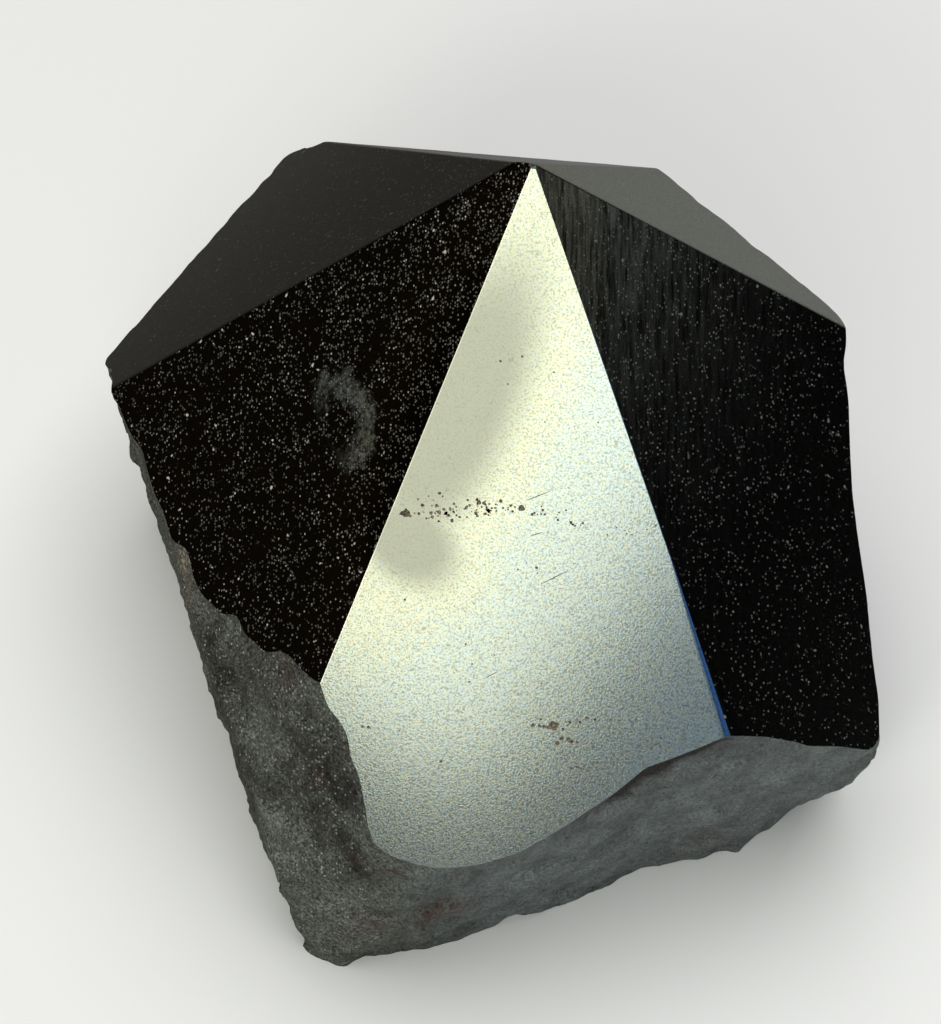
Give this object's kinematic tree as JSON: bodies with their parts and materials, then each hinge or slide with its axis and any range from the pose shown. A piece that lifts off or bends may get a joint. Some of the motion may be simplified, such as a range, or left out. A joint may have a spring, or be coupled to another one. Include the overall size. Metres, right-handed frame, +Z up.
{
  "type": "hematite point",
  "caption": "Stubby hematite stone with a polished six-sided pyramid top, rough broken sides and a flat sawn base to stand on.",
  "frame": {"origin": "on the flat base, under the middle of the stone's outline", "axes": "+Z up from the flat base to the apex, +X to the stone's right and -Y to its front, where the brightest facet in the picture faces"},
  "size_m": [0.0796, 0.0866, 0.074],
  "materials": {
    "hematite": "polished metallic grey facets above, dull granular broken skin at the sides"
  },
  "bodies": {
    "root": {"hematite_point": "hematite"}
  },
  "joints": []
}
